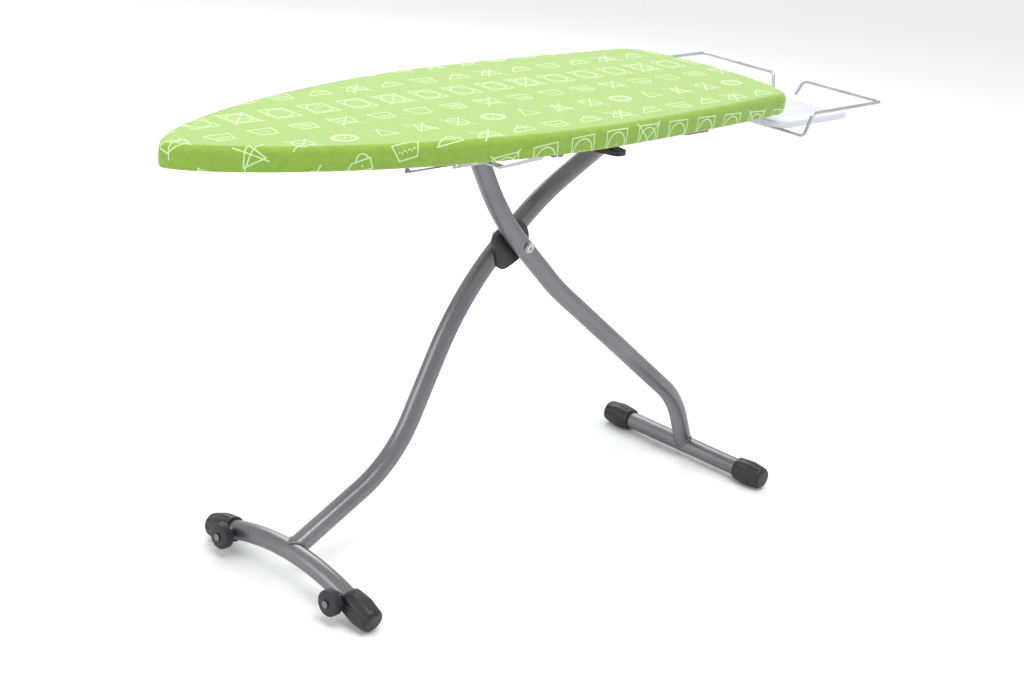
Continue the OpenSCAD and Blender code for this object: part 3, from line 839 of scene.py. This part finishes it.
def makeCap():
    shape = footShape
    length, tip = shape["capLength"], shape["capTip"]
    rise = shape["capBelly"] - shape["capMouth"]
    profile = [(legShape["tube"] + 0.0002, 0.010), (legShape["tube"] + 0.0002, 0.0),
               (shape["capMouth"] - 0.001, 0.0), (shape["capMouth"], 0.0012)]
    profile += [(shape["capMouth"] + rise * math.sin(math.radians(15 * k)), 0.0012 + 0.005 * k)
                for k in range(1, 7)]
    profile += [(tip + 0.0012, 0.044), (tip + 0.0004, length - 0.008)]
    profile += [(tip - 0.007 + 0.007 * math.cos(math.radians(22.5 * k)),
                 length - 0.007 + 0.007 * math.sin(math.radians(22.5 * k))) for k in range(1, 5)]
    profile.append((0.004, length))
    columns = fluteShape["columns"]
    cap = lathe("footCap", profile, columns)
    editing(cap, "FACE")

    def onFlute(face):
        c = face.calc_center_median()
        column = math.floor((math.atan2(c.y, c.x) / (2 * math.pi)) * columns) % columns
        outer = math.hypot(c.x, c.y) > shape["capMouth"] - 0.0008
        return outer and column % fluteShape["every"] in (0, 1, 2) and 0.006 < c.z < 0.050
    pick(cap, "FACE", onFlute)
    bpy.ops.mesh.inset(thickness=0.0007, use_even_offset=True)
    bpy.ops.transform.shrink_fatten(value=-fluteShape["depth"])
    doneEditing()
    outwards(cap)
    applyModifier(cap, "BEVEL", width=0.0003, segments=2, limit_method="ANGLE",
                  angle_limit=math.radians(28))
    smooth(cap, 45)
    return cap


capPattern = makeCap()
for name, (end, way, _), back, body in (
        ("frontCapNear", frontEnds[0], footShape["capLength"] - 0.008, "front_leg"),
        ("frontCapFar", frontEnds[1], footShape["capLength"] - 0.008, "front_leg"),
        ("rearCapNear", rearEnds[0], None, "rear_leg"),
        ("rearCapFar", rearEnds[1], None, "rear_leg")):
    node = {"frontCapNear": "front_cap_near", "frontCapFar": "front_cap_far",
            "rearCapNear": "rear_cap_near", "rearCapFar": "rear_cap_far"}[name]
    if back is None:
        low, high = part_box(node)
        mouth = Vector((end.x, high.y if way.y < 0 else low.y, end.z))
    else:
        mouth = end - way * back
    cap = copied(capPattern, name, facing(mouth, way))
    finished(cap, body, blackPlastic, [node])
bpy.data.objects.remove(capPattern)


# Wheels

def makeWheel():
    low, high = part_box("wheel_near")
    radius, thick = (high.y - low.y) / 2, high.x - low.x
    profile = [(0.0032, 0.0), (radius - 0.0012, 0.0), (radius, 0.0012), (radius, thick * 0.42),
               (radius - 0.0006, thick * 0.46), (radius, thick * 0.5)]
    profile += [(radius - 0.003 + 0.003 * math.cos(math.radians(18 * k)),
                 thick - 0.004 + 0.003 * math.sin(math.radians(18 * k))) for k in range(0, 6)]
    profile += [(radius * 0.72, thick - 0.0004), (radius * 0.5, thick), (0.0065, thick),
                (0.0060, thick - 0.0012), (0.0032, thick - 0.0012)]
    wheel = lathe("wheel", profile, 64)
    smooth(wheel, 35)
    return wheel


wheelPattern = makeWheel()
for name, node, body in (("wheelNear", "wheel_near", "wheel_n"), ("wheelFar", "wheel_far", "wheel_f")):
    low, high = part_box(node)
    centre = (low + high) / 2
    wheel = copied(wheelPattern, name, facing((high.x, centre.y, centre.z), -alongX))
    finished(wheel, body, wheelPlastic, [node])
bpy.data.objects.remove(wheelPattern)
print("beads, caps and wheels made")


# Pivot

hubShape = {
    "radius": 0.036, "lobe": 0.050, "round": 0.0022,
    "lobes": ((236, 30, 1.0), (172, 26, 0.55)),  # direction and spread in degrees, and share
    "layers": ((0.7, 0.96), (0.3, 0.86))}  # share of the thickness, and how far it draws in


def makeHub():
    # A moulded saddle between the two tubes: a plate with a round end and a square lobe
    low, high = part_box("pivot_hub")
    pivot = middle("pivot_bolt")
    shape = hubShape
    hub = ringAt("pivotHub", (pivot.x, low.y, pivot.z), alongY, shape["radius"], 40)
    for vertex in hub.data.vertices:
        away = vertex.co - Vector((pivot.x, low.y, pivot.z))
        angle = math.degrees(math.atan2(away.z, away.x)) % 360
        # Pulled out into a lobe towards the nose and down
        lobe = sum(share * math.exp(-(((angle - way) / spread) ** 2))
                   for way, spread, share in shape["lobes"])
        vertex.co += away.normalized() * (shape["lobe"] - shape["radius"]) * lobe
    editing(hub)
    bpy.ops.mesh.select_all(action="SELECT")
    bpy.ops.mesh.edge_face_add()
    bpy.ops.mesh.select_mode(type="FACE")
    for share, drawn in shape["layers"]:
        bpy.ops.mesh.extrude_region_move(
            TRANSFORM_OT_translate={"value": (0, (high.y - low.y) * share, 0)})
        bpy.ops.transform.resize(value=(drawn, 1, drawn),
                                 center_override=(pivot.x, high.y, pivot.z))
    doneEditing()
    outwards(hub)
    applyModifier(hub, "BEVEL", width=shape["round"], segments=3, limit_method="ANGLE",
                  angle_limit=math.radians(35))
    smooth(hub, 35)
    return finished(hub, "front_leg", blackPlastic, ["pivot_hub"])


def makeBoltHead():
    # A domed screw with a round recess, on its countersunk washer
    low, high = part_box("pivot_bolt")
    pivot = (low + high) / 2
    profile = [(0.0072, 0.0), (0.0086, 0.0), (0.0086, 0.0011), (0.0070, 0.0013), (0.0068, 0.0026),
               (0.0060, 0.0036), (0.0044, 0.0041), (0.0016, 0.0042)]
    head = lathe("pivotScrewHead", profile, 32)
    editing(head, "FACE")
    pick(head, "FACE", lambda f: f.calc_center_median().z > 0.0039)
    bpy.ops.mesh.inset(thickness=0.0009)
    bpy.ops.mesh.extrude_region_move(TRANSFORM_OT_translate={"value": (0, 0, -0.0019)})
    doneEditing()
    outwards(head)
    smooth(head, 30)
    head.matrix_world = facing((pivot.x, low.y + 0.0042, pivot.z), -alongY)
    applyPlace(head)
    return finished(head, "front_leg", screwZinc)


makeHub()
makeBoltHead()


# Iron rest

restShape = {
    "radius": 0.003, "bend": 0.008, "stemSides": 24,
    "clipHalf": 0.009,  # half a clip's width, which puts the stems on the clips' middles
    "dipGap": 0.0005,
    "behindBoard": 0.007,  # where the side wires turn down, past the tail
    "lowBack": 0.010, "lowNarrow": 0.004,
    "dipHalf": (0.009, 0.022, 0.035), "dipUnder": 0.012, "dipOut": 0.008}


def makeRestWire():
    # One loop: the end bar with its dip under the tray, the sides, and the low bar by the tail
    low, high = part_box("rest_wire")
    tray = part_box("rest_tray")
    shape = restShape
    radius = shape["radius"]
    endX, side, top = high.x - radius, high.y - radius, high.z - radius
    backX, deep = boardHigh.x + shape["behindBoard"], low.z + radius
    lowX = backX - shape["lowBack"]
    dipZ = tray[0].z - radius - shape["dipGap"]
    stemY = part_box("rest_clips")[1].y - shape["clipHalf"]
    d0, d1, d2 = shape["dipHalf"]
    half = [(tray[1].x - shape["dipUnder"], d0, dipZ), (tray[1].x + shape["dipOut"], d1, dipZ),
            (endX, d2, top), (endX, side, top), (backX, side, top),
            (lowX, side - shape["lowNarrow"], deep)]
    loop = half + [(x, -y, z) for x, y, z in reversed(half)]
    middleOf = ((loop[0][0] + loop[-1][0]) / 2, 0.0, dipZ)
    wire = wireThrough("restWire", [middleOf] + loop + [middleOf], shape["bend"], radius)
    stems = []
    for sign in (-1, 1):
        stem = ringAt("stem", (low.x, sign * stemY, deep), alongX, radius, shape["stemSides"])
        editing(stem)
        bpy.ops.mesh.select_all(action="SELECT")
        bpy.ops.mesh.edge_face_add()
        bpy.ops.mesh.extrude_region_move(
            TRANSFORM_OT_translate={"value": (lowX - radius - low.x, 0, 0)})
        doneEditing()
        outwards(stem)
        smooth(stem, 50)
        stems.append(stem)
    bpy.ops.object.select_all(action="DESELECT")
    for piece in [wire] + stems:
        piece.select_set(True)
    bpy.context.view_layer.objects.active = wire
    bpy.ops.object.join()
    return finished(wire, "board", zincWire, ["rest_wire"])


trayShape = {
    "corner": 0.034, "side": 24,
    "border": 0.022, "sunk": 0.002, "wall": 0.0025,
    "roundOver": 0.004, "groove": 0.0012}


def roundedLoop(low, high, corner, inset, height, perCorner):
    # Points round a rectangle with round corners, drawn in by inset
    points = []
    r = max(corner - inset, 0.002)
    x0, x1, y0, y1 = low.x + inset + r, high.x - inset - r, low.y + inset + r, high.y - inset - r
    corners = ((x1, y0, -90), (x1, y1, 0), (x0, y1, 90), (x0, y0, 180))
    for cx, cy, start in corners:
        for k in range(perCorner + 1):
            a = math.radians(start + 90 * k / perCorner)
            points.append(Vector((cx + r * math.cos(a), cy + r * math.sin(a), height)))
    return points


def makeTray():
    # A moulded tray: hollow below, with a raised rounded border, a groove and a sunk floor
    low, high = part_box("rest_tray")
    shape = trayShape
    r, wall = shape["roundOver"], shape["wall"]
    border, floor = shape["border"], high.z - shape["sunk"]
    rings = [(0.09, floor - wall), (wall + 0.003, floor - wall), (wall, floor - wall - 0.003),
             (wall, low.z + 0.0004), (wall * 0.7, low.z), (wall * 0.3, low.z), (0.0, low.z + 0.0004),
             (0.0, high.z - r)]
    rings += [(r * (1 - math.cos(math.radians(18 * k))), high.z - r + r * math.sin(math.radians(18 * k)))
              for k in range(1, 6)]
    rings += [(border * 0.45, high.z), (border - 0.003, high.z - 0.0001),
              (border - 0.0012, high.z - 0.0006), (border, floor + 0.0006), (border + 0.0012, floor),
              (border + 0.010, floor), (border + 0.0106, floor - shape["groove"] * 0.4),
              (border + 0.0118, floor - shape["groove"] * 0.4), (border + 0.0124, floor), (0.09, floor)]
    loops = [roundedLoop(low, high, shape["corner"], inset, z, shape["side"]) for inset, z in rings]
    tray = ringStack("restTray", loops)
    capOpenRings(tray)
    smooth(tray, 40)
    return finished(tray, "board", trayPlastic, ["rest_tray"])


makeRestWire()
makeTray()
print("iron rest made")


# Kept CAD nodes

keptLooks = {
    "top_plate": bareSteel, "rim_frame": silverPaint, "cross_braces": silverPaint,
    "rail_near": silverPaint, "rail_far": silverPaint, "hinge_bracket": silverPaint,
    "hem_elastic": elasticBand,
    "rest_clips": silverPaint, "shaft_brackets": silverPaint, "lock_spring": springSteel,
    "bracket_rivets": screwZinc, "release_lever": blackPlastic, "lock_shaft": zincWire,
    "lock_comb": zincWire, "front_top_bar": silverPaint, "front_bar_caps": blackPlastic,
    "wheel_brackets": silverPaint, "wheel_axles": springSteel, "pivot_bolt": screwZinc,
    "pivot_nut": screwZinc, "pivot_bush": blackPlastic, "slide_bar": silverPaint,
    "slide_rollers": blackPlastic}
for node, material in keptLooks.items():
    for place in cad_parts[node].material_slots:
        place.material = material

# Floor, light and camera

stageLook = {"floor": (0.90, 0.90, 0.90), "world": (1.0, 1.0, 1.0), "worldStrength": 0.92}


def makeStage():
    bpy.ops.object.select_all(action="DESELECT")
    bpy.ops.mesh.primitive_plane_add(size=40)
    floor = named("studioFloor")
    material, tree, shader = nodesOf("paleFloor")
    fine = noiseAt(tree, objectPlace(tree), 3.0)
    tree.links.new(rangeOf(tree, fine, 0.75, 0.9), shader.inputs["Roughness"])
    shader.inputs["Base Color"].default_value = (*stageLook["floor"], 1)
    floor.data.materials.append(material)
    world = bpy.data.worlds.new("paleRoom")
    world.use_nodes = True
    background = world.node_tree.nodes["Background"]
    background.inputs["Color"].default_value = (*stageLook["world"], 1)
    background.inputs["Strength"].default_value = stageLook["worldStrength"]
    bpy.context.scene.world = world


def softLight(name, place, aim, size, power, colour=(1, 1, 1)):
    data = bpy.data.lights.new(name, "AREA")
    data.shape = "DISK"
    data.size, data.energy, data.color = size, power, colour
    lamp = bpy.data.objects.new(name, data)
    bpy.context.scene.collection.objects.link(lamp)
    lamp.location = place
    lamp.rotation_euler = (Vector(aim) - Vector(place)).to_track_quat("-Z", "Y").to_euler()


makeStage()
softLight("keyLight", (-0.6, -0.6, 3.4), (0, 0, 0.5), 2.2, 62)
softLight("backLight", (1.8, 2.6, 2.6), (0, 0, 0.6), 2.6, 60, (0.95, 0.97, 1.0))
softLight("fillLight", (-3.0, 0.9, 1.4), (0, 0, 0.5), 1.8, 22)

cameraView = {"place": (-2.1054, -1.9005, 1.3903), "azimuth": 48.22, "down": 20.52, "roll": 6.37,
              "lens": 64.06}
cameraData = bpy.data.cameras.new("camera")
cameraData.lens = cameraView["lens"]
cameraData.sensor_width = 36
cameraData.clip_end = 50
camera = bpy.data.objects.new("camera", cameraData)
bpy.context.scene.collection.objects.link(camera)
camera.matrix_world = (
    Matrix.Translation(cameraView["place"])
    @ Matrix.Rotation(math.radians(-cameraView["azimuth"]), 4, "Z")
    @ Matrix.Rotation(math.radians(90 - cameraView["down"]), 4, "X")
    @ Matrix.Rotation(math.radians(cameraView["roll"]), 4, "Z"))
bpy.context.scene.camera = camera
bpy.context.scene.view_settings.view_transform = "Standard"
print("stage, lights and camera made")
